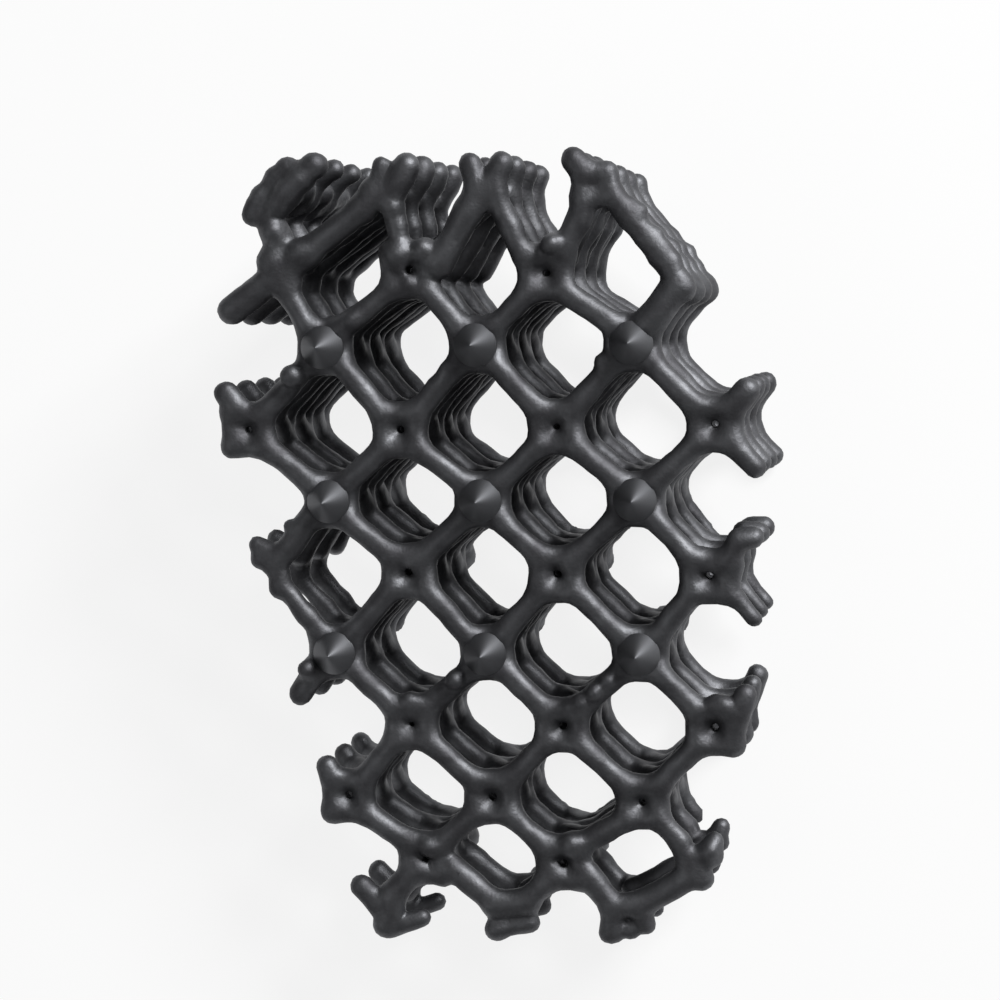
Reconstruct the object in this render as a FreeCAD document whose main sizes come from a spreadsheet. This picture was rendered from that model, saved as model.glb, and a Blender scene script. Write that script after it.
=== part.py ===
import FreeCAD, Part
import math
import os

# Wedge that holds a shin bone's tuberosity forward: a block of strut lattice, printed in one piece.
# The lattice is built with its hole columns along Z and its spiked front face up. Rows run along X
# and Y, in whole and half cells counted from the middle spike. The last step lays the finished
# wedge on its sloping back face, with the thick end at +Y.

doc = FreeCAD.newDocument("advancement_wedge")
sheet = doc.addObject("Spreadsheet::Sheet", "Sizes")

# Driving dimensions, in millimetres and degrees
DIMENSIONS = (
    ("cell_pitch", 5.6, "from a spike to the next, along X and along Y"),
    ("layer_pitch", 2.8, "from one grid layer to the next, along the hole columns"),
    ("layer_count", 5, "grid layers at the thick end"),
    ("strut_width", 0.84, "width of the struts that cross in each layer"),
    ("layer_height", 0.82, "thickness of each layer of crossing struts"),
    ("node_width", 2.12, "width across the square node where struts cross"),
    ("edge_node_width", 1.5, "width across the blunt node where struts meet at the outline"),
    ("pinhole_width", 0.3, "width of the small hole down the middle of a square node"),
    ("knob_width", 0.96, "width across the rounded knob at the end of a cut strut"),
    ("brace_width", 0.72, "width across the slanting braces between layers"),
    ("stub_length", 1.25, "cut brace left standing on the front face, from its node"),
    ("front_tilt", 4.5, "front face against the square of the hole columns"),
    ("wedge_angle", 14.4, "front face against the back face"),
    ("mid_thickness", 9.0, "front face to back face below the middle spike"),
    ("spike_width", 1.56, "base of a spike"),
    ("spike_height", 1.0, "height of a spike above the front face"),
    ("spike_tip", 0.06, "flat at a spike's tip"),
    ("spike_foot", 0.5, "depth of a spike's foot inside its node"),
)
for row, (alias, value, meaning) in enumerate(DIMENSIONS, start=1):
    sheet.set(f"A{row}", alias.replace("_", " "))
    sheet.set(f"B{row}", str(value))
    sheet.set(f"C{row}", meaning)
    sheet.setAlias(f"B{row}", alias)
doc.recompute()

cell_pitch = float(sheet.cell_pitch)
layer_pitch = float(sheet.layer_pitch)
layer_count = int(sheet.layer_count)
strut_width = float(sheet.strut_width)
layer_height = float(sheet.layer_height)
node_width = float(sheet.node_width)
edge_node_width = float(sheet.edge_node_width)
pinhole_width = float(sheet.pinhole_width)
knob_width = float(sheet.knob_width)
brace_width = float(sheet.brace_width)
stub_length = float(sheet.stub_length)
mid_thickness = float(sheet.mid_thickness)
back_fall = float(sheet.wedge_angle) - float(sheet.front_tilt)
front_slope = math.tan(math.radians(float(sheet.front_tilt)))
back_slope = math.tan(math.radians(back_fall))

# Nodes that lie on the whole pattern, as cell counts from the middle spike
SPIKE_NODES = [(x, y) for y in (1, 0, -1) for x in (-1, 0, 1)]
HALF_ROWS = {1.5: (0.5,), 0.5: (-1.5, -0.5, 0.5, 1.5), -0.5: (0.5,)}

# Square nodes near the outline, where the pattern is a little squeezed: place in the pattern, and
# place on the part, in cells
SQUEEZED = {
    (-0.5, 1.5): (-0.41, 1.48),
    (-0.5, -0.5): (-0.48, -0.47),
    (1.5, -0.5): (1.46, -0.49),
    (-0.5, -1.5): (-0.51, -1.47),
    (0.5, -1.5): (0.49, -1.47),
    (1.5, -1.5): (1.49, -1.47),
    (-1, -2): (-0.94, -1.94),
    (0, -2): (0.01, -1.94),
    (1, -2): (0.99, -1.94),
    (-0.5, -2.5): (-0.39, -2.37),
    (0.5, -2.5): (0.53, -2.37),
}

# Blunt nodes on the outline itself, in the same terms
EDGE_NODES = {
    (-2, 2): (-1.22, 1.97),
    (-1, 2): (-0.54, 2.01),
    (0, 2): (0.12, 1.98),
    (1, 2): (0.82, 2.00),
    (-1.5, 1.5): (-1.22, 1.50),
    (1.5, 1.5): (1.32, 1.37),
    (-1.5, -0.5): (-1.34, -0.42),
    (1.5, -2.5): (1.35, -2.35),
    (-1, -3): (-0.70, -2.71),
    (0, -3): (0.14, -2.70),
    (1, -3): (0.84, -2.67),
}

# Struts that the outline cuts: node in the pattern, and where the knob at the end stands, in cells
CUT_STRUTS = (
    ((-2, 2), (-0.97, 2.18)),
    ((-2, 2), (-1.46, 1.84)),
    ((-2, 2), (-1.22, 2.14)),
    ((-1, 2), (-0.37, 2.18)),
    ((-1, 2), (-0.58, 2.16)),
    ((0, 2), (0.0, 2.16)),
    ((0, 2), (0.21, 2.14)),
    ((1, 2), (0.65, 2.15)),
    ((-1.5, 1.5), (-1.63, 1.26)),
    ((-1.5, 1.5), (-1.27, 1.75)),
    ((-1.5, 0.5), (-1.68, 0.72)),
    ((-1.5, 0.5), (-1.65, 0.34)),
    ((1.5, 0.5), (1.75, 0.72)),
    ((1.5, 0.5), (1.75, 0.18)),
    ((-1.5, -0.5), (-1.50, -0.27)),
    ((-1.5, -0.5), (-1.38, -0.57)),
    ((1.5, -0.5), (1.76, -0.21)),
    ((1.5, -0.5), (1.76, -0.77)),
    ((-1, -1), (-1.25, -1.26)),
    ((1.5, -1.5), (1.73, -1.22)),
    ((1.5, -1.5), (1.64, -1.62)),
    ((-1, -2), (-1.10, -1.75)),
    ((-1, -2), (-1.08, -2.07)),
    ((1.5, -2.5), (1.49, -2.12)),
    ((1.5, -2.5), (1.38, -2.50)),
    ((-1, -3), (-0.89, -2.57)),
    ((-1, -3), (-0.71, -2.86)),
    ((-1, -3), (-0.47, -2.79)),
    ((0, -3), (0.02, -2.84)),
    ((0, -3), (0.27, -2.80)),
    ((1, -3), (0.78, -2.86)),
    ((1, -3), (1.01, -2.79)),
)


def node_places():
    """Every node's place in the pattern, with its place on the part in millimetres."""
    places = {node: node for node in SPIKE_NODES}
    for y, columns in HALF_ROWS.items():
        for x in columns:
            places[(x, y)] = (x, y)
    places.update(SQUEEZED)
    places.update(EDGE_NODES)
    return {node: (x * cell_pitch, y * cell_pitch) for node, (x, y) in places.items()}


def struts_along(nodes, step_y):
    """Pairs of neighbours whose strut rises (step_y 0.5) or falls (step_y -0.5) towards +X."""
    pairs = []
    for x, y in nodes:
        neighbour = (x + 0.5, y + step_y)
        if neighbour in nodes:
            pairs.append(((x, y), neighbour))
    return pairs


def polygon_face(points):
    """A flat face at Z = 0 with these corners."""
    corners = [FreeCAD.Vector(x, y, 0) for x, y in points]
    return Part.Face(Part.makePolygon(corners + corners[:1]))


def strip_face(start, end, width):
    """A straight strip of this width from start to end."""
    length = math.dist(start, end)
    side_x = -(end[1] - start[1]) / length * width / 2
    side_y = (end[0] - start[0]) / length * width / 2
    return polygon_face((
        (start[0] - side_x, start[1] - side_y),
        (end[0] - side_x, end[1] - side_y),
        (end[0] + side_x, end[1] + side_y),
        (start[0] + side_x, start[1] + side_y),
    ))


def regular_face(centre, width, sides):
    """A regular polygon, measured across its flats, with a flat towards +X."""
    radius = width / 2 / math.cos(math.pi / sides)
    turns = [(corner + 0.5) * 2 * math.pi / sides for corner in range(sides)]
    return polygon_face([(centre[0] + radius * math.cos(turn), centre[1] + radius * math.sin(turn))
                         for turn in turns])


def brace_prism(start, end, width):
    """A six-sided bar of this width, from start to end."""
    axis = end - start
    radius = width / 2 / math.cos(math.pi / 6)
    corners = []
    for corner in range(6):
        turn = corner * math.pi / 3
        corners.append(FreeCAD.Vector(radius * math.cos(turn), radius * math.sin(turn), 0))
    bar = Part.Face(Part.makePolygon(corners + corners[:1])).extrude(FreeCAD.Vector(0, 0, axis.Length))
    bar.Placement = FreeCAD.Placement(start, FreeCAD.Rotation(FreeCAD.Vector(0, 0, 1), axis))
    return bar


def layer_depth(layer):
    """How far the middle of this layer lies behind the front face, the first layer being 0."""
    return layer * layer_pitch + layer_height / 2


def layer_point(x, y, layer):
    """The middle of this layer over the place x, y."""
    return FreeCAD.Vector(x, y, front_slope * y - layer_depth(layer))


def node_stands(y, layer):
    """Whether a node at this height on the part lies in front of the back face in this layer."""
    return front_slope * y - layer_depth(layer) > -mid_thickness - back_slope * y


nodes = node_places()
rising = struts_along(nodes, 0.5)
falling = struts_along(nodes, -0.5)
pierced = [node for node in nodes if node not in SPIKE_NODES and node not in EDGE_NODES]


def layer_plan(layer):
    """The flat plan of one layer: its struts, nodes and knobs, less the pinholes. A cut strut
    belongs to its node, so it is drawn only where that node stands in the layer."""
    faces = [strip_face(nodes[a], nodes[b], strut_width) for a, b in rising + falling]
    for node, place in nodes.items():
        if node in EDGE_NODES:
            faces.append(regular_face(place, edge_node_width, 8))
        else:
            faces.append(regular_face(place, node_width, 4))
    for node, (x, y) in CUT_STRUTS:
        if node_stands(nodes[node][1], layer):
            knob = (x * cell_pitch, y * cell_pitch)
            faces.append(strip_face(nodes[node], knob, strut_width))
            faces.append(regular_face(knob, knob_width, 8))
    pinholes = [regular_face(nodes[node], pinhole_width, 8) for node in pierced]
    plan = faces[0].multiFuse(faces[1:]).cut(Part.makeCompound(pinholes))
    return plan.removeSplitter()


# Each layer is the slice that one flat, tilted slab takes from its plan raised along the columns
reach = 4 * cell_pitch
layers = []
for layer in range(layer_count):
    walls = doc.addObject("Part::Feature", f"Walls{layer}")
    walls.Shape = layer_plan(layer).Faces[0].extrude(FreeCAD.Vector(0, 0, 2 * reach))
    walls.Placement.Base.z = -reach - layer_depth(layer)
    slab = doc.addObject("Part::Box", f"Slab{layer}")
    slab.setExpression("Length", "8 * Sizes.cell_pitch")
    slab.setExpression("Width", "8 * Sizes.cell_pitch")
    slab.setExpression("Height", "Sizes.layer_height")
    slab.Placement.Rotation = FreeCAD.Rotation(FreeCAD.Vector(1, 0, 0), float(sheet.front_tilt))
    slab.setExpression("Placement.Base.x", "-4 * Sizes.cell_pitch")
    slab.setExpression("Placement.Base.y", "-4 * Sizes.cell_pitch")
    front_corner = "-4 * Sizes.cell_pitch * tan(Sizes.front_tilt)"
    slab.setExpression("Placement.Base.z",
                       f"{front_corner} - {layer} * Sizes.layer_pitch - Sizes.layer_height")
    grid = doc.addObject("Part::Common", f"Layer{layer}")
    grid.Base = walls
    grid.Tool = slab
    layers.append(grid)
doc.recompute()

# Braces slant from every rising strut's lower node in one layer to its upper node in the next,
# between the corners that the strut joins, clear of the pinholes. Those that start above the
# front face are cut to a stub.
corner_reach = (node_width - strut_width) / 2
braces = []
for low, high in rising:
    low_corner = (nodes[low][0] + corner_reach, nodes[low][1] + corner_reach)
    high_corner = (nodes[high][0] - corner_reach, nodes[high][1] - corner_reach)
    for layer in range(-1, layer_count):
        top = layer_point(*low_corner, layer)
        foot = layer_point(*high_corner, layer + 1)
        if layer < 0:
            top = foot + (top - foot).normalize() * stub_length
        braces.append(brace_prism(top, foot, brace_width))

lattice = doc.addObject("Part::Feature", "Lattice")
lattice.Shape = layers[0].Shape.multiFuse([grid.Shape for grid in layers[1:]] + braces)

# The back face is one flat cut, square to the sides and sloping away under the thick end
back_stock = doc.addObject("Part::Box", "BackStock")
back_stock.setExpression("Length", "8 * Sizes.cell_pitch")
back_stock.setExpression("Width", "8 * Sizes.cell_pitch")
back_stock.setExpression("Height", "4 * Sizes.cell_pitch")
back_stock.Placement.Rotation = FreeCAD.Rotation(FreeCAD.Vector(1, 0, 0), -back_fall)
back_corner = FreeCAD.Vector(-reach, -reach, -reach)
back_stock.Placement.Base = back_stock.Placement.Rotation.multVec(back_corner)
back_stock.Placement.Base.z -= mid_thickness
wedge_block = doc.addObject("Part::Cut", "WedgeBlock")
wedge_block.Base = lattice
wedge_block.Tool = back_stock

# Spikes stand along the hole columns, each on a round foot sunk in a node of the front layer
wedge = doc.addObject("Part::MultiFuse", "Wedge")
spike_parts = []
for index, (x, y) in enumerate(SPIKE_NODES):
    seat = f"{y} * Sizes.cell_pitch * tan(Sizes.front_tilt)"
    foot = doc.addObject("Part::Cylinder", f"SpikeFoot{index}")
    foot.setExpression("Radius", "Sizes.spike_width / 2")
    foot.setExpression("Height", "Sizes.spike_foot")
    foot.setExpression("Placement.Base.z", f"{seat} - Sizes.spike_foot")
    point = doc.addObject("Part::Cone", f"Spike{index}")
    point.setExpression("Radius1", "Sizes.spike_width / 2")
    point.setExpression("Radius2", "Sizes.spike_tip / 2")
    point.setExpression("Height", "Sizes.spike_height")
    point.setExpression("Placement.Base.z", seat)
    for piece in (foot, point):
        piece.setExpression("Placement.Base.x", f"{x} * Sizes.cell_pitch")
        piece.setExpression("Placement.Base.y", f"{y} * Sizes.cell_pitch")
        spike_parts.append(piece)
wedge.Shapes = [wedge_block] + spike_parts
doc.recompute()

# The wedge lies on its back face, with its origin under the middle of its bounding box
wedge.Label = "advancement_wedge"
lay_down = FreeCAD.Rotation(FreeCAD.Vector(1, 0, 0), back_fall)
wedge.Placement = FreeCAD.Placement(FreeCAD.Vector(), lay_down)
box = wedge.Shape.BoundBox
wedge.Placement.Base = FreeCAD.Vector(-box.Center.x, -box.Center.y, -box.ZMin)
middle_seat = wedge.Placement.Base

failed = [item.Label for item in doc.Objects if "Invalid" in item.State or "Error" in item.State]
if failed:
    raise RuntimeError(f"failed features: {failed}")
solid = wedge.Shape
if solid.isNull() or not solid.isValid() or len(solid.Solids) != 1:
    raise RuntimeError("the wedge is not one valid solid")

os.makedirs("parts", exist_ok=True)
solid.exportStep(f"parts/{wedge.Label}.step")
box = solid.BoundBox
print(f"{wedge.Label}: {box.XLength:.2f} x {box.YLength:.2f} x {box.ZLength:.2f} mm")
print(f"volume {solid.Volume:.2f} mm3, floor {box.ZMin:.4f}")
print(f"middle spike's seat {middle_seat.x:.4f}, {middle_seat.y:.4f}, {middle_seat.z:.4f}")
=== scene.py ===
import math

import bpy
import numpy as np
import openvdb
from mathutils import Euler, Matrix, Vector, noise


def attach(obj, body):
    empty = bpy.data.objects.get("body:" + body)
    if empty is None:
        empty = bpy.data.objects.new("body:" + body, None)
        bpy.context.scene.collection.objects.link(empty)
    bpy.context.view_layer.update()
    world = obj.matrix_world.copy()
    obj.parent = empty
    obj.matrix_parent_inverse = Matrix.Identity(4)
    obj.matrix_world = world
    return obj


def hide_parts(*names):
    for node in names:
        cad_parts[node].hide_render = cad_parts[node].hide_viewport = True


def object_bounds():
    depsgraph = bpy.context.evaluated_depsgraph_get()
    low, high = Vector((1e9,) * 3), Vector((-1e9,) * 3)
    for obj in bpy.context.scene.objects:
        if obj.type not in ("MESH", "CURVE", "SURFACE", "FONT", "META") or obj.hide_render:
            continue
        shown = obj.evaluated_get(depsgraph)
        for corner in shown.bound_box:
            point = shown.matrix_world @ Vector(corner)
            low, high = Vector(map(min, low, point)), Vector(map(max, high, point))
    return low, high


bl_info = {
    "name": "Advancement wedge",
    "version": (1, 0, 0),
    "blender": (4, 5, 0),
    "location": "3D View > Sidebar > Wedge",
    "description": "Printed lattice wedge with its spikes, on a pale floor",
    "category": "Object",
}

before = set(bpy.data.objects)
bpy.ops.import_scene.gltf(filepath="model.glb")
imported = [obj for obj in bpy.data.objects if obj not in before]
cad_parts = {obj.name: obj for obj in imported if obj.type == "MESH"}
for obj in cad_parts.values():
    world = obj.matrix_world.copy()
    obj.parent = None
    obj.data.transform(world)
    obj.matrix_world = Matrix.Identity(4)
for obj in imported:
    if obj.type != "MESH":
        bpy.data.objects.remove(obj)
CAD_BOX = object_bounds()

MM = 0.001
NODE = "advancement_wedge"
LAYERS = range(5)
FRONT_SLOPE = math.tan(math.radians(4.5))
COLUMN_TILT = math.radians(9.9)
# Where the middle spike's foot meets the front face, in the part's own frame, in millimetres
MIDDLE_SEAT = Vector((-0.2240, 0.8168, 8.8660))

# Finer places in the lattice, in millimetres
LAYER_LEAN = 0.02       # how much nearer to the thin end each layer is than the one in front
STRUT_DEPTH = 0.41      # middle of the front layer's rings behind the front face
RISING_LIFT = 0.04      # struts that rise to the right, in front of their rings
FALLING_LIFT = 0.10     # struts that fall to the right, in front of their rings
EDGE_LIFT = 0.10        # struts of the outline, in front of the rings
SPIKE_SINK = 0.1        # front rings that carry a spike, behind the others
RING_TRIM = 0.02        # how much less the radius of a ring's tube is
BOWL_RADIUS = 0.36      # ball that closes a ring and leaves a bowl in front
BOWL_DEPTH = 0.2        # middle of that ball behind the ring
PINHOLE_RADIUS = 0.13
PINHOLE_SHIFT = 0.03    # pinhole to the right of its ring's middle
PINHOLE_DEPTH = 2.4
BRACE_LEVEL = 0.47      # where the braces run between two layers, as a share of the way
# Height of the skin's lumps and the distance between them, for wide and for narrow ones
LUMPS = ((0.070, 0.95), (0.022, 0.42))
# Height above the cut back up to which the skin has no lumps
FLAT_BAND = 0.1
# The range that the noise which the oxide follows hardly ever leaves
OXIDE_RANGE = {"From Min": 0.36, "From Max": 0.64}

# The spikes' feet: depth in the node, bevel at the bottom and how far they stand out of the front
# face, in millimetres, and the number of sides
FOOT_DEPTH = 0.7
FOOT_BEVEL = 0.1
FOOT_STAND = 0.06
SPIKE_SIDES = 64

# The melt: size of a cell and room round the CAD box, in millimetres, and the most triangles kept
MELT_STEP = 0.1
MELT_ROOM = 0.6
MOST_TRIANGLES = 190000

# The pattern's nodes, in cells from the middle spike
SPIKE_NODES = [(x, y) for y in (1, 0, -1) for x in (-1, 0, 1)]
RING_NODES = {
    (0.5, 1.5): (0.460, 1.450),
    (-1.5, 0.5): (-1.530, 0.470),
    (-0.5, 0.5): (-0.520, 0.460),
    (0.5, 0.5): (0.500, 0.470),
    (1.5, 0.5): (1.510, 0.480),
    (0.5, -0.5): (0.480, -0.480),
    (-0.5, -0.5): (-0.495, -0.464),
    (-0.5, -1.5): (-0.516, -1.475),
    (0.5, -1.5): (0.485, -1.479),
    (0, -2): (0.009, -1.960),
    (1, -2): (0.993, -1.980),
    (-1, -2): (-0.955, -1.960),
    (-0.5, -2.5): (-0.447, -2.380),
    (0.5, -2.5): (0.466, -2.394),
    (1.5, -0.5): (1.457, -0.489),
    (1.5, -1.5): (1.475, -1.482),
    (-0.5, 1.5): (-0.422, 1.485),
}

# Struts and knobs along the outline, where it cuts the pattern: radius in millimetres, then places
# in cells. Two numbers in a name are the node's place in the pattern.
EDGE_STRUTS = (
    (0.28, (-1.436, 1.846), (-1.414, 1.923), (-1.316, 2.039), (-1.210, 2.139)),  # -2,2 left ridge
    (0.39, (-1.293, 1.880), (-1.190, 1.986), (-1.107, 2.111), (-1.005, 2.160)),  # -2,2 right ridge
    (0.47, (-1.298, 1.738)),  # -2,2 ball
    (0.43, (-1.345, 1.845), (-1.263, 1.684), (-1.337, 1.548)),  # -2,2 ball neck
    (0.44, (-1.287, 1.598), (-1.238, 1.399)),  # -1.5,1.5 left
    (0.36, (-1.137, 1.621)),  # -1.5,1.5 top right lump
    (0.43, (-1.214, 1.514), (-1.205, 1.424)),  # -1.5,1.5 body
    (0.53, (-1.306, 1.461), (-1.602, 1.247)),  # -1.5,1.5 arm to the lower left
    (0.43, (-1.234, 1.373), (-1.104, 1.145)),  # -1.5,1.5 arm to the spike
    (0.49, (-1.178, 1.526), (-1.079, 1.610),
     (-0.716, 1.879), (-0.610, 1.984)),  # -1.5,1.5 rising arm
    (0.47, (-0.505, 1.995), (-0.450, 2.082), (-0.414, 2.148)),  # -1,2 ridge
    (0.34, (-0.577, 2.149), (-0.596, 1.997)),  # -1,2 left knob
    (0.40, (-0.649, 1.998), (-0.559, 1.958)),  # -1,2 body
    (0.32, (-0.520, 1.898)),  # -1,2 lump
    (0.34, (-0.522, 1.900), (-0.494, 1.779), (-0.475, 1.627), (-0.470, 1.537)),  # -1,2 fall
    (0.40, (0.000, 2.147), (0.039, 2.013)),  # 0,2 knob
    (0.46, (0.195, 2.140), (0.143, 2.023)),  # 0,2 ridge
    (0.31, (0.025, 2.001)),  # 0,2 lump a
    (0.31, (0.064, 1.896)),  # 0,2 lump b
    (0.38, (0.051, 1.969), (0.166, 1.966)),  # 0,2 body
    (0.41, (0.149, 1.945), (0.239, 1.740), (0.320, 1.559)),  # 0,2 fall
    (0.53, (-0.229, 1.515), (-0.019, 1.860), (0.051, 1.969)),  # 0,2 rising
    (0.44, (0.655, 2.154), (0.744, 2.060)),  # 1,2 knob
    (0.38, (0.732, 2.077), (0.866, 2.068), (0.895, 1.926),
     (0.705, 1.928), (0.712, 2.077)),  # 1,2 ring
    (0.32, (0.797, 1.913)),  # 1,2 lump
    (0.41, (0.905, 1.926), (1.005, 1.778), (1.097, 1.673),
     (1.186, 1.546), (1.314, 1.377)),  # 1,2 fall
    (0.32, (0.981, 1.838)),  # 1,2 bead a
    (0.34, (1.088, 1.701)),  # 1,2 bead b
    (0.34, (1.204, 1.600)),  # 1,2 bead c
    (0.36, (1.259, 1.496)),  # 1,2 bead d
    (0.45, (0.716, 1.892), (0.680, 1.776), (0.574, 1.592)),  # 1,2 rising
    (0.36, (0.509, 1.625)),  # 0.5,1.5 lump
    (0.47, (1.336, 1.331)),  # 1.5,1.5 lump
    (0.57, (1.280, 1.337), (1.102, 1.119)),  # 1.5,1.5 rising
    (0.44, (-1.662, 0.711), (-1.604, 0.639)),  # -1.5,0.5 up knob
    (0.36, (-1.641, 0.351), (-1.605, 0.403)),  # -1.5,0.5 down knob
    (0.45, (-1.130, -0.096), (-1.287, -0.310)),  # -1.5,-0.5 rising
    (0.34, (-1.500, -0.287), (-1.389, -0.336)),  # -1.5,-0.5 knob a
    (0.40, (-1.478, -0.373), (-1.358, -0.389)),  # -1.5,-0.5 knob b
    (0.37, (-1.320, -0.333), (-1.401, -0.429)),  # -1.5,-0.5 body
    (0.38, (-1.366, -0.579), (-1.351, -0.489)),  # -1.5,-0.5 knob c
    (0.35, (-1.360, -0.539), (-1.189, -0.751), (-1.085, -0.881)),  # -1.5,-0.5 fall
    (0.46, (-1.133, -1.119), (-1.247, -1.274)),  # -1,-1 rising
    (0.30, (-1.171, -1.117)),  # -1,-1 nub
    (0.40, (-1.087, -1.763), (-1.059, -1.832)),  # -1,-2 up knob
    (0.38, (-1.066, -2.066), (-1.041, -2.039)),  # -1,-2 down knob
    (0.47, (-0.508, -2.451), (-0.677, -2.619)),  # -1,-3 rising
    (0.44, (-0.882, -2.578), (-0.779, -2.708)),  # -1,-3 knob
    (0.46, (-0.680, -2.646), (-0.690, -2.756)),  # -1,-3 body
    (0.49, (-0.735, -2.835)),  # -1,-3 low knob
    (0.33, (-0.688, -2.858), (-0.486, -2.785)),  # -1,-3 bar
    (0.47, (-0.263, -2.441), (-0.020, -2.645)),  # 0,-3 fall
    (0.45, (0.415, -2.467), (0.223, -2.641)),  # 0,-3 rising
    (0.53, (0.008, -2.685), (0.226, -2.661)),  # 0,-3 body
    (0.47, (0.021, -2.842)),  # 0,-3 low knob
    (0.36, (0.042, -2.844), (0.236, -2.799)),  # 0,-3 bar
    (0.45, (0.627, -2.467), (0.757, -2.629)),  # 1,-3 fall
    (0.47, (0.780, -2.676), (0.925, -2.663)),  # 1,-3 body
    (0.45, (0.775, -2.855), (0.788, -2.723)),  # 1,-3 low knob
    (0.33, (0.901, -2.835)),  # 1,-3 mid knob
    (0.38, (0.998, -2.792), (0.954, -2.679)),  # 1,-3 right knob
    (0.51, (0.995, -2.658), (1.303, -2.450)),  # 1,-3 rising
    (0.39, (1.099, -2.073), (1.231, -2.240), (1.284, -2.404)),  # 1.5,-2.5 fall
    (0.40, (1.446, -2.327)),  # 1.5,-2.5 lump a
    (0.41, (1.325, -2.339), (1.349, -2.402)),  # 1.5,-2.5 body
    (0.40, (1.380, -2.485)),  # 1.5,-2.5 lump b
    (0.36, (1.462, -2.232), (1.400, -2.330)),  # 1.5,-2.5 knob
    (0.40, (1.678, -1.265), (1.642, -1.379)),  # 1.5,-1.5 knob
    (0.35, (1.575, -1.380), (1.617, -1.435), (1.603, -1.577)),  # 1.5,-1.5 body
    (0.34, (1.602, -1.599)),  # 1.5,-1.5 low knob
    (0.45, (1.631, 0.584), (1.721, 0.696)),  # 1.5,0.5 up
    (0.41, (1.594, 0.386), (1.765, 0.204)),  # 1.5,0.5 down
    (0.41, (1.573, -0.405), (1.651, -0.262), (1.741, -0.253)),  # 1.5,-0.5 up
    (0.26, (1.573, -0.405), (1.629, -0.421), (1.611, -0.537)),  # 1.5,-0.5 side
    (0.30, (1.551, -0.573), (1.635, -0.645), (1.738, -0.767)),  # 1.5,-0.5 down
)

# Braces between layers along the outline: lower place, upper place, in cells
OUTLINE_BRACES = (
    ((-1.22, 1.50), (-0.54, 2.01)),
    ((-0.42, 1.485), (0.12, 1.98)),
    ((0.50, 1.50), (0.82, 2.00)),
    ((1.00, 1.00), (1.32, 1.37)),
    ((-1.34, -0.42), (-1.00, 0.00)),
    ((-0.70, -2.71), (-0.42, -2.38)),
    ((0.14, -2.70), (0.53, -2.37)),
    ((0.84, -2.67), (1.35, -2.35)),
    ((-1.22, 1.97), (-1.22, 1.97)),
)

# Beads, nubs and filled bowls of the front layer only: place in cells, radius and how far the bead
# stands in front of its strut, in millimetres
FRONT_BEADS = (
    (-1.200, 0.820, 0.42, 0.62),
    (-0.194, 0.842, 0.29, 0.24),
    (0.809, 0.880, 0.29, 0.17),
    (-1.181, -1.107, 0.36, 0.55),
    (-0.196, -1.169, 0.36, 0.55),
    (-1.280, -0.158, 0.18, 0.24),
    (0.624, -1.309, 0.29, 0.48),
    (0.717, -1.242, 0.31, 0.59),
    (0.803, -1.176, 0.29, 0.48),
    (0.544, -1.350, 0.26, 0.35),
    (0.509, 1.628, 0.36, 0.50),
    (-0.317, 1.617, 0.31, 0.30),
    (-0.461, 1.594, 0.33, 0.30),
    (-0.471, 1.499, 0.26, 0.30),
    (-1.130, 1.621, 0.33, 0.35),
    (-1.288, 1.586, 0.35, 0.30),
    (-0.422, -2.293, 0.33, 0.35),
    (0.533, -2.257, 0.37, 0.35),
    (-0.455, -1.338, 0.29, 0.24),
    (1.542, -1.338, 0.33, 0.35),
    (1.436, -2.287, 0.35, 0.35),
    (-0.475, -0.410, 0.37, 0.12),
    (1.458, -0.424, 0.33, 0.12),
    (1.529, -0.392, 0.29, 0.12),
    (0.530, -0.437, 0.26, 0.00),
    (-0.504, -1.399, 0.29, 0.00),
    (0.510, -1.390, 0.29, 0.00),
    (0.807, 2.038, 0.26, 0.05),
    (1.067, 1.813, 0.32, 0.05),
    (1.165, 1.680, 0.32, 0.05),
    (1.250, 1.541, 0.26, 0.05),
    (-0.522, 1.894, 0.29, 0.24),
    (-0.488, 1.754, 0.29, 0.17),
    (-0.473, 1.639, 0.29, 0.17),
    (0.061, 1.899, 0.26, 0.24),
    (0.026, 2.001, 0.26, 0.24),
    (1.011, 1.858, 0.30, 0.05),
    (-1.297, 1.743, 0.44, 0.33),
    (-1.325, 1.554, 0.48, 0.26),
    (-1.158, 1.602, 0.37, 0.33),
    (-1.444, 1.864, 0.37, 0.15),
    (-1.366, 1.984, 0.39, 0.18),
    (-1.282, 2.090, 0.39, 0.18),
    (-1.193, 2.151, 0.37, 0.15),
    (-1.249, 1.930, 0.44, 0.33),
    (-1.187, 2.005, 0.48, 0.37),
    (-1.098, 2.079, 0.48, 0.37),
    (-1.015, 2.159, 0.44, 0.29),
    (-0.416, 1.403, 0.29, 0.29),
    (-0.501, 1.576, 0.44, 0.29),
    (-0.510, 1.881, 0.29, 0.26),
    (-0.793, 1.166, 0.33, 0.29),
    (-0.478, 2.026, 0.37, 0.26),
    (-0.324, 1.617, 0.33, 0.33),
    (0.569, -0.437, 0.26, 0.15),
    (-0.515, -1.318, 0.33, 0.26),
    (-0.402, -2.300, 0.37, 0.29),
    (0.532, -2.277, 0.37, 0.29),
    (1.486, -1.322, 0.33, 0.26),
)

# The camera: place and turn, lens in millimetres, and the nearest thing it shows, in metres. It
# stands nearer to the wedge than Blender's own nearest distance.
CAMERA_PLACE = (MIDDLE_SEAT + Vector((17.352, -9.604, 95.043))) * MM
CAMERA_TURN = Euler([math.radians(turn) for turn in (5.827, 9.846, 0.726)])
LENS = 97.2
NEAREST = 0.01

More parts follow.
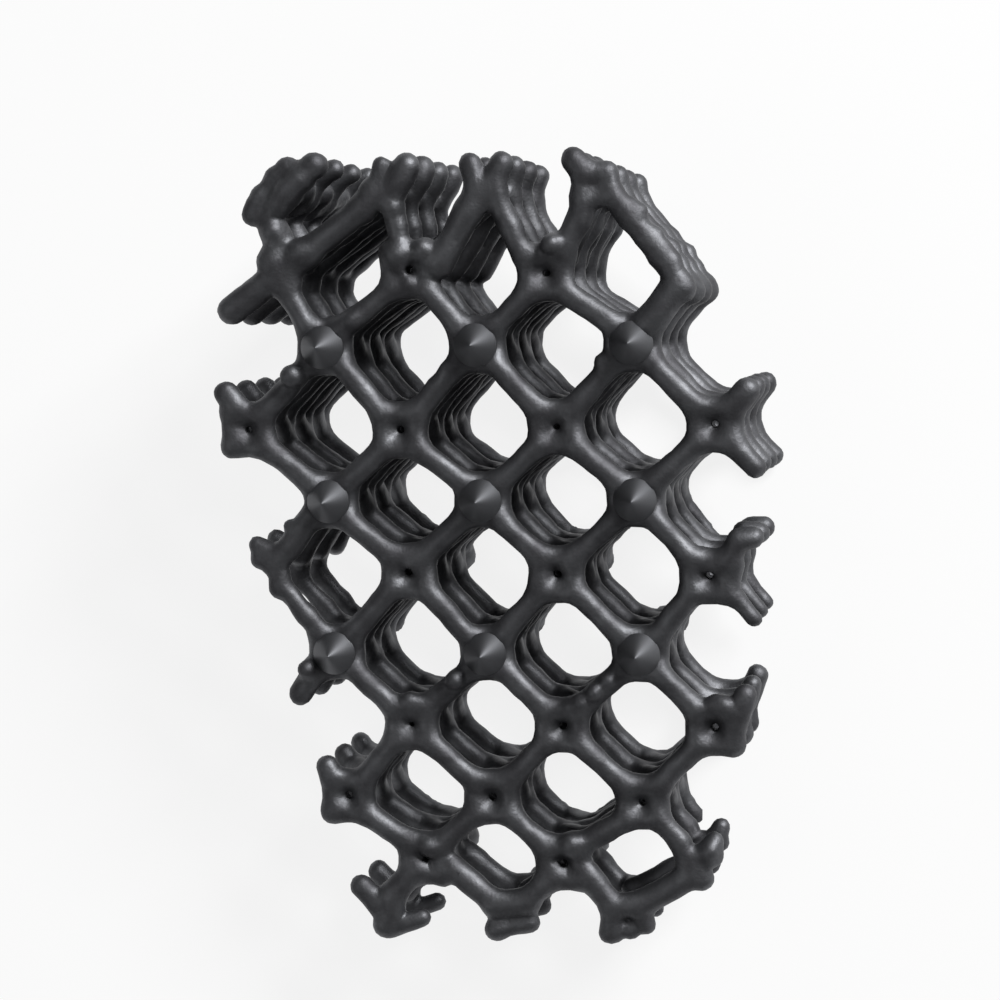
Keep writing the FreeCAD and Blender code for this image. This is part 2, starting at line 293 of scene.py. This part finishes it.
# The lamps: place from the point that they aim at, along the camera's right, up and back, in
# metres, share of the key lamp's power, and width in metres
LAMPS = (
    ("key_lamp", (0.125, 0.15, 0.155), 1.0, 0.08),
    ("fill_lamp", (-0.16, -0.06, 0.16), 0.06, 0.12),
)
LAMP_TARGET = Vector((0, 0, 0.006))
# Half the floor's width, in metres
FLOOR_HALF = 0.6
# How far the floor is plain white to the camera and in reflections; the rest keeps the shadow
WHITE_SHARE = 0.85


class WedgeSizes(bpy.types.PropertyGroup):
    """Sizes of the printed lattice and its colour."""

    cell_pitch: bpy.props.FloatProperty(
        name="Cell pitch", description="From a spike to the next", default=5.6 * MM, unit="LENGTH")
    layer_pitch: bpy.props.FloatProperty(
        name="Layer pitch", description="From a layer to the next", default=2.80 * MM, unit="LENGTH")
    strut_width: bpy.props.FloatProperty(
        name="Strut width", description="Across a round strut", default=0.84 * MM, unit="LENGTH")
    brace_width: bpy.props.FloatProperty(
        name="Brace width", description="Across a strut between layers", default=0.82 * MM,
        unit="LENGTH")
    ring_width: bpy.props.FloatProperty(
        name="Ring width", description="Middle to middle across a node's square ring",
        default=1.26 * MM, unit="LENGTH")
    neck: bpy.props.FloatProperty(
        name="Melted neck", description="How far two struts run into each other", default=0.075 * MM,
        unit="LENGTH")
    spike_width: bpy.props.FloatProperty(
        name="Spike width", description="Across a spike's foot", default=1.56 * MM, unit="LENGTH")
    spike_height: bpy.props.FloatProperty(
        name="Spike height", description="From the front face to the tip", default=1.0 * MM,
        unit="LENGTH")
    metal_hex: bpy.props.StringProperty(
        name="Metal colour", description="Colour where the oxide is thin, as sRGB hex",
        default="#646568")
    oxide_hex: bpy.props.StringProperty(
        name="Oxide colour", description="Colour where the oxide is thick, as sRGB hex",
        default="#505053")
    spike_hex: bpy.props.StringProperty(
        name="Spike colour", description="Colour of the ground spikes, as sRGB hex", default="#636467")


class StageLook(bpy.types.PropertyGroup):
    """Colours and lamps of the stage."""

    floor_hex: bpy.props.StringProperty(
        name="Floor colour", description="Colour of the pale floor, as sRGB hex", default="#E8E8E8")
    key_power: bpy.props.FloatProperty(
        name="Key lamp", description="Power of the soft lamp at the upper right", default=0.82,
        unit="POWER")
    room_light: bpy.props.FloatProperty(
        name="Room light", description="Brightness of the pale room all round", default=0.18)


def linear(hex_colour):
    """An sRGB hex colour as linear RGBA."""
    channels = [int(hex_colour[i:i + 2], 16) / 255 for i in (1, 3, 5)]
    return [c / 12.92 if c <= 0.04045 else ((c + 0.055) / 1.055) ** 2.4 for c in channels] + [1.0]


def node(material, kind, links=(), **settings):
    """Adds one shader node, sets its inputs and settings, and links (output, input name) pairs
    into it."""
    new = material.node_tree.nodes.new(kind)
    for key, value in settings.items():
        if key in new.inputs:
            new.inputs[key].default_value = value
        else:
            setattr(new, key.lower(), value)
    for output, name in links:
        material.node_tree.links.new(output, new.inputs[name])
    return new


class Melt:
    """A block of fine cells in which round struts melt together, in millimetres."""

    def __init__(self, low, high, neck):
        self.low = low
        self.neck = neck
        self.shape = np.ceil((high - low) / MELT_STEP).astype(int) + 1
        self.heat = np.zeros(self.shape, np.float32)

    def line(self, axis, first, last):
        """The places of the cells first to last along one axis."""
        return (self.low[axis] + np.arange(first, last) * MELT_STEP).astype(np.float32)

    def near(self, start, end, reach):
        """The window of cells within reach of a straight run, and how far each lies off the run."""
        start = np.array(start)
        end = np.array(end)
        first = np.floor((np.minimum(start, end) - reach - self.low) / MELT_STEP).astype(int)
        last = np.ceil((np.maximum(start, end) + reach - self.low) / MELT_STEP).astype(int)
        first = np.maximum(first, 0)
        last = np.maximum(np.minimum(last, self.shape), first)
        cells = np.meshgrid(*[self.line(i, first[i], last[i]) for i in range(3)], indexing="ij")
        run = end - start
        length = max(run @ run, 1e-9)
        along = np.clip(sum((cells[i] - start[i]) * run[i] for i in range(3)) / length, 0, 1)
        off = np.sqrt(sum((cells[i] - start[i] - along * run[i]) ** 2 for i in range(3)))
        return tuple(slice(a, b) for a, b in zip(first, last)), off

    def strut(self, start, end, radius):
        """Melts in one round strut with rounded ends. Past five necks its heat no longer counts."""
        window, off = self.near(start, end, radius + 5 * self.neck)
        self.heat[window] += np.exp((radius - off) / self.neck)

    def field(self, holes):
        """Signed distance to the melted skin, below zero in the metal, with thin holes drilled and
        everything below the floor cut away."""
        field = -self.neck * np.log(np.maximum(self.heat, 1e-12))
        for bottom, top in holes:
            window, off = self.near(bottom, top, 4 * PINHOLE_RADIUS)
            field[window] = np.maximum(field[window], PINHOLE_RADIUS - off)
        return np.maximum(field, -self.line(2, 0, self.shape[2]))


def spot(sizes, x, y, level, right=0.0, up=0.0):
    """A point beside a place in cells, at a level counted in layers from the front, in
    millimetres along the hole columns."""
    pitch = sizes.cell_pitch / MM
    px = x * pitch + right
    py = y * pitch + up
    depth = STRUT_DEPTH + level * sizes.layer_pitch / MM
    return np.array((px, py - level * LAYER_LEAN, FRONT_SLOPE * py - depth))


def ring_struts(sizes, place, x, y, level):
    """One node's square ring, with the ball that closes it."""
    radius = sizes.strut_width / MM / 2 - RING_TRIM
    half = sizes.ring_width / MM / 2
    sink = (0, 0, SPIKE_SINK if place in SPIKE_NODES and level == 0 else 0)
    corners = [spot(sizes, x, y, level, half * a, half * b) - sink
               for a, b in ((1, 1), (-1, 1), (-1, -1), (1, -1))]
    ball = spot(sizes, x, y, level) - (0, 0, BOWL_DEPTH)
    return [(corners[i - 1], corners[i], radius) for i in range(4)] + [(ball, ball, BOWL_RADIUS)]


def brace_struts(sizes, low, high, level):
    """A brace between two layers, beside a rising strut, with its legs to the rings below it."""
    radius = sizes.brace_width / MM / 2
    half = sizes.ring_width / MM / 2
    start = spot(sizes, *low, level + BRACE_LEVEL, half, half)
    end = spot(sizes, *high, level + BRACE_LEVEL, -half, -half)
    return [
        (start, end, radius),
        (start, spot(sizes, *low, level + 1, half, -half), radius),
        (start, spot(sizes, *low, level + 1, -half, half), radius),
        (end, spot(sizes, *high, level + 1, half, -half), radius),
        (end, spot(sizes, *high, level + 1, -half, half), radius),
    ]


def outline_brace_struts(sizes, low, high, level):
    """A brace between two layers on the outline, with a leg at each end. One that starts and ends
    at the same node is an upright, and stands on the layer in front too."""
    radius = sizes.brace_width / MM / 2
    quarter = sizes.ring_width / MM / 4
    start = spot(sizes, *low, level + BRACE_LEVEL, quarter, quarter)
    end = spot(sizes, *high, level + BRACE_LEVEL, -quarter, -quarter)
    struts = [
        (start, end, radius),
        (start, spot(sizes, *low, level + 1), radius),
        (end, spot(sizes, *high, level + 1), radius),
    ]
    if low == high:
        struts.append((start, spot(sizes, *low, level), radius))
    return struts


def layer_struts(sizes, places, level):
    """One layer's rings, crossing struts and outline, with the braces behind it."""
    radius = sizes.strut_width / MM / 2
    half = sizes.ring_width / MM / 2
    struts = []
    for place, (x, y) in places.items():
        struts += ring_struts(sizes, place, x, y, level)
        for rise, lift in ((1, RISING_LIFT), (-1, FALLING_LIFT)):
            other = (place[0] + 0.5, place[1] + 0.5 * rise)
            if other in places:
                start = spot(sizes, x, y, level, half, rise * half)
                end = spot(sizes, *places[other], level, -half, -rise * half)
                struts.append((start + (0, 0, lift), end + (0, 0, lift), radius))
                if rise > 0:
                    struts += brace_struts(sizes, (x, y), places[other], level)
    for thick, *run in EDGE_STRUTS:
        spots = [spot(sizes, x, y, level) + (0, 0, EDGE_LIFT) for x, y in run]
        struts += [(start, end, thick) for start, end in zip(spots, spots[1:] or spots)]
    for low, high in OUTLINE_BRACES:
        struts += outline_brace_struts(sizes, low, high, level)
    return struts


def lattice_struts(sizes):
    """All the lattice's struts, as start, end and radius in millimetres, along the hole columns."""
    places = {place: place for place in SPIKE_NODES} | RING_NODES
    struts = []
    for level in LAYERS:
        struts += layer_struts(sizes, places, level)
    for x, y, thick, lift in FRONT_BEADS:
        middle = spot(sizes, x, y, 0)
        struts.append((middle + (0, 0, lift), middle, thick))
    return struts


def pinholes(sizes):
    """Bottom and top of the pinhole in every ring that has no spike, in the part's own frame."""
    pitch = sizes.cell_pitch / MM
    return [(to_part((x * pitch + PINHOLE_SHIFT, y * pitch, -PINHOLE_DEPTH)),
             to_part((x * pitch + PINHOLE_SHIFT, y * pitch, 1)))
            for x, y in RING_NODES.values()]


def to_part(point):
    """A point along the hole columns, in the part's own frame."""
    return Euler((COLUMN_TILT, 0, 0)).to_matrix() @ Vector(point) + MIDDLE_SEAT


def largest_part(count, quads):
    """Which points belong to the largest joined part. The flat cut leaves a few loose slivers.
    Each point takes the lowest label next to it until no two neighbours differ."""
    first, second = np.concatenate([quads[:, (i, (i + 1) % 4)] for i in range(4)]).T.astype(int)
    label = np.arange(count)
    while (label[first] != label[second]).any():
        low = np.minimum(label[first], label[second])
        np.minimum.at(label, first, low)
        np.minimum.at(label, second, low)
        label = label[label]
    return label == np.bincount(label).argmax()


def skin_mesh(name, field, low):
    """The mesh of the zero surface of a field whose first cell is at low, in metres. With no
    adaptivity its faces are all quads."""
    grid = openvdb.FloatGrid(background=1.0)
    grid.copyFromArray(field.astype(np.float32))
    points, _, quads = grid.convertToPolygons(0.0, 0.0)
    joined = largest_part(len(points), quads)
    renumber = np.cumsum(joined) - 1
    places = (low + points[joined] * MELT_STEP) * MM
    mesh = bpy.data.meshes.new(name)
    mesh.from_pydata(places.tolist(), [], renumber[quads[joined[quads[:, 0]]]].tolist())
    mesh.flip_normals()
    mesh.update()
    raise_lumps(mesh)
    return mesh


def raise_lumps(mesh):
    """The uneven skin of melted powder: low lumps about a millimetre apart, with smaller ones
    between them. The cut back stays flat."""
    points = np.empty(len(mesh.vertices) * 3, np.float32)
    normals = np.empty(len(mesh.vertices) * 3, np.float32)
    mesh.vertices.foreach_get("co", points)
    mesh.vertices.foreach_get("normal", normals)
    points = points.reshape(-1, 3)
    normals = normals.reshape(-1, 3)
    height = np.array([sum(tall * noise.noise(Vector(place / apart)) for tall, apart in LUMPS)
                       for place in points / MM], np.float32)
    height[points[:, 2] < FLAT_BAND * MM] = 0
    points += normals * height[:, None] * MM
    mesh.vertices.foreach_set("co", points.ravel())
    mesh.update()


def show(mesh, material):
    """An object of this mesh, smooth shaded, in the scene."""
    piece = bpy.data.objects.new(mesh.name, mesh)
    bpy.context.collection.objects.link(piece)
    mesh.materials.append(material)
    mesh.shade_smooth()
    return piece


def printed_titanium(sizes):
    """Ti-6Al-4V, melted from powder by a laser, blasted and oxidised: a dark satin grey. The oxide
    is uneven, so its shade and its gloss drift over about a millimetre. Sintered grains, really
    0.04 mm across and drawn at 0.12 mm so that they show, break every reflection up."""
    material = bpy.data.materials.new("printed_titanium")
    material.use_nodes = True
    shader = material.node_tree.nodes["Principled BSDF"]
    shader.inputs["Metallic"].default_value = 1.0
    place = node(material, "ShaderNodeTexCoord")
    drift = node(material, "ShaderNodeTexNoise", [(place.outputs["Object"], "Vector")],
                 Scale=1 / (1.1 * MM), Detail=4.0, Roughness=0.6)
    spread = node(material, "ShaderNodeMapRange", [(drift.outputs["Fac"], "Value")],
                  **OXIDE_RANGE)
    shade = node(material, "ShaderNodeMixRGB", [(spread.outputs[0], "Fac")],
                 Color1=linear(sizes.oxide_hex), Color2=linear(sizes.metal_hex))
    gloss = node(material, "ShaderNodeMapRange", [(drift.outputs["Fac"], "Value")],
                 **OXIDE_RANGE, **{"To Min": 0.62, "To Max": 0.53})
    grain = node(material, "ShaderNodeTexNoise", [(place.outputs["Object"], "Vector")],
                 Scale=1 / (0.12 * MM), Detail=2.0, Roughness=0.5)
    relief = node(material, "ShaderNodeBump", [(grain.outputs["Fac"], "Height")],
                  Strength=0.6, Distance=0.02 * MM)
    links = material.node_tree.links
    links.new(shade.outputs[0], shader.inputs["Base Color"])
    links.new(gloss.outputs[0], shader.inputs["Roughness"])
    links.new(relief.outputs[0], shader.inputs["Normal"])
    return material


def ground_titanium(sizes):
    """The same metal, ground to a point: about as pale and as smooth as the skin where its oxide is
    thin, with faint rings that the wheel leaves 0.06 mm apart."""
    material = bpy.data.materials.new("ground_titanium")
    material.use_nodes = True
    shader = material.node_tree.nodes["Principled BSDF"]
    shader.inputs["Metallic"].default_value = 1.0
    shader.inputs["Base Color"].default_value = linear(sizes.spike_hex)
    shader.inputs["Roughness"].default_value = 0.55
    place = node(material, "ShaderNodeTexCoord")
    rings = node(material, "ShaderNodeTexWave", [(place.outputs["Object"], "Vector")],
                 bands_direction="Z", Scale=1 / (0.2 * MM), Distortion=1.5, Detail=2.0)
    relief = node(material, "ShaderNodeBump", [(rings.outputs["Fac"], "Height")],
                  Strength=0.35, Distance=0.004 * MM)
    material.node_tree.links.new(relief.outputs[0], shader.inputs["Normal"])
    return material


class WEDGE_OT_lattice(bpy.types.Operator):
    """Melt the whole lattice from its struts, cut flat on the back"""

    bl_idname = "wedge.lattice"
    bl_label = "Print lattice"

    def execute(self, context):
        sizes = context.scene.wedge_sizes
        low = np.array(CAD_BOX[0]) / MM - MELT_ROOM
        high = np.array(CAD_BOX[1]) / MM + MELT_ROOM
        melt = Melt(low, high, sizes.neck / MM)
        for start, end, radius in lattice_struts(sizes):
            start = to_part(start)
            end = to_part(end)
            if max(start.z, end.z) > 0:
                melt.strut(start, end, radius)
        mesh = skin_mesh("lattice_body", melt.field(pinholes(sizes)), low)
        piece = show(mesh, printed_titanium(sizes))
        thin = piece.modifiers.new("thin", "DECIMATE")
        thin.ratio = min(1.0, MOST_TRIANGLES / (2 * len(mesh.polygons)))
        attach(piece, "root")
        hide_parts(NODE)
        return {"FINISHED"}


class WEDGE_OT_spikes(bpy.types.Operator):
    """Turn the nine spikes, each on a round foot in its node"""

    bl_idname = "wedge.spikes"
    bl_label = "Raise spikes"

    def execute(self, context):
        sizes = context.scene.wedge_sizes
        pitch = sizes.cell_pitch / MM
        wide = sizes.spike_width / MM / 2
        tall = sizes.spike_height / MM
        # Radius and height, from the bottom rim to the blunt tip
        profile = [(wide - FOOT_BEVEL, -FOOT_DEPTH), (wide, FOOT_BEVEL - FOOT_DEPTH), (wide, -0.02),
                   (wide - 0.02, 0.01), (0.05, tall - 0.03), (0.02, tall - 0.005)]
        points = []
        faces = []
        for x, y in SPIKE_NODES:
            middle = np.array((x * pitch, y * pitch, FRONT_SLOPE * y * pitch + FOOT_STAND))
            first = len(points)
            for radius, height in profile:
                for side in range(SPIKE_SIDES):
                    turn = 2 * math.pi * side / SPIKE_SIDES
                    rim = (radius * math.cos(turn), radius * math.sin(turn), height)
                    points.append(middle + rim)
            last = len(points) - SPIKE_SIDES
            bottom = len(points)
            points.append(middle + (0, 0, -FOOT_DEPTH))
            points.append(middle + (0, 0, tall))
            for side in range(SPIKE_SIDES):
                after = (side + 1) % SPIKE_SIDES
                for ring in range(first, last, SPIKE_SIDES):
                    faces.append((ring + side, ring + after,
                                  ring + after + SPIKE_SIDES, ring + side + SPIKE_SIDES))
                faces.append((bottom, first + after, first + side))
                faces.append((bottom + 1, last + side, last + after))
        mesh = bpy.data.meshes.new("spike_points")
        mesh.from_pydata([to_part(p) * MM for p in points], [], faces)
        mesh.update()
        piece = show(mesh, ground_titanium(sizes))
        mesh.set_sharp_from_angle(angle=math.radians(25))
        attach(piece, "root")
        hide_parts(NODE)
        return {"FINISHED"}


class WEDGE_OT_stage(bpy.types.Operator):
    """Lay the pale floor, hang the lamps and set the camera"""

    bl_idname = "wedge.stage"
    bl_label = "Set stage"

    def execute(self, context):
        scene = context.scene
        look = scene.stage_look
        scene.view_settings.view_transform = "Standard"
        self.lay_floor(look)
        self.hang_lamps(look)
        self.set_world(scene, look)
        self.set_camera(scene)
        return {"FINISHED"}

    def lay_floor(self, look):
        """A wide floor that looks white to the camera and keeps a soft shadow."""
        mesh = bpy.data.meshes.new("floor")
        corners = [(x * FLOOR_HALF, y * FLOOR_HALF, 0)
                   for x, y in ((-1, -1), (1, -1), (1, 1), (-1, 1))]
        mesh.from_pydata(corners, [], [(0, 1, 2, 3)])
        material = bpy.data.materials.new("matt_white_card")
        material.use_nodes = True
        shader = material.node_tree.nodes["Principled BSDF"]
        shader.inputs["Base Color"].default_value = linear(look.floor_hex)
        shader.inputs["Roughness"].default_value = 0.9
        output = material.node_tree.nodes["Material Output"]
        path = node(material, "ShaderNodeLightPath")
        seen = node(material, "ShaderNodeMath",
                    [(path.outputs["Is Camera Ray"], 0), (path.outputs["Is Glossy Ray"], 1)],
                    operation="MAXIMUM")
        seen = node(material, "ShaderNodeMath",
                    [(seen.outputs[0], 0), (path.outputs["Is Transmission Ray"], 1)],
                    operation="MAXIMUM")
        share = node(material, "ShaderNodeMath", [(seen.outputs[0], 0)], operation="MULTIPLY")
        share.inputs[1].default_value = WHITE_SHARE
        glow = node(material, "ShaderNodeEmission", Color=(1, 1, 1, 1), Strength=1.0)
        blend = node(material, "ShaderNodeMixShader",
                     [(share.outputs[0], "Fac"), (shader.outputs[0], 1), (glow.outputs[0], 2)])
        material.node_tree.links.new(blend.outputs[0], output.inputs["Surface"])
        floor = bpy.data.objects.new("floor", mesh)
        mesh.materials.append(material)
        bpy.context.collection.objects.link(floor)

    def hang_lamps(self, look):
        """One soft key lamp from the upper right of the view and one faint fill."""
        turn = CAMERA_TURN.to_matrix()
        for name, place, part, width in LAMPS:
            lamp = bpy.data.lights.new(name, "AREA")
            lamp.energy = look.key_power * part
            lamp.size = width
            stand = bpy.data.objects.new(name, lamp)
            stand.location = LAMP_TARGET + turn @ Vector(place)
            aim = LAMP_TARGET - stand.location
            stand.rotation_euler = aim.to_track_quat("-Z", "Y").to_euler()
            bpy.context.collection.objects.link(stand)

    def set_world(self, scene, look):
        """A pale room, white behind the object."""
        world = bpy.data.worlds.new("pale_room")
        scene.world = world
        world.use_nodes = True
        room = world.node_tree.nodes["Background"]
        room.inputs["Color"].default_value = (1, 1, 1, 1)
        room.inputs["Strength"].default_value = look.room_light

    def set_camera(self, scene):
        """A long lens straight above the front face, a little below and to the right."""
        lens = bpy.data.cameras.new("camera")
        lens.sensor_width = 36
        lens.lens = LENS
        lens.clip_start = NEAREST
        camera = bpy.data.objects.new("camera", lens)
        camera.location = CAMERA_PLACE
        camera.rotation_euler = CAMERA_TURN
        bpy.context.collection.objects.link(camera)
        scene.camera = camera


class WEDGE_PT_pieces(bpy.types.Panel):
    """Lists the pieces and the stage"""

    bl_label = "Wedge"
    bl_idname = "WEDGE_PT_pieces"
    bl_space_type = "VIEW_3D"
    bl_region_type = "UI"
    bl_category = "Wedge"

    def draw(self, context):
        for operator in OPERATORS:
            self.layout.operator(operator.bl_idname)


OPERATORS = (WEDGE_OT_lattice, WEDGE_OT_spikes, WEDGE_OT_stage)
CLASSES = (WedgeSizes, StageLook) + OPERATORS + (WEDGE_PT_pieces,)


def register():
    for cls in CLASSES:
        bpy.utils.register_class(cls)
    bpy.types.Scene.wedge_sizes = bpy.props.PointerProperty(type=WedgeSizes)
    bpy.types.Scene.stage_look = bpy.props.PointerProperty(type=StageLook)


def unregister():
    del bpy.types.Scene.stage_look
    del bpy.types.Scene.wedge_sizes
    for cls in reversed(CLASSES):
        bpy.utils.unregister_class(cls)


def main():
    register()
    bpy.ops.wedge.lattice()
    bpy.ops.wedge.spikes()
    bpy.ops.wedge.stage()


if __name__ == "__main__":
    main()
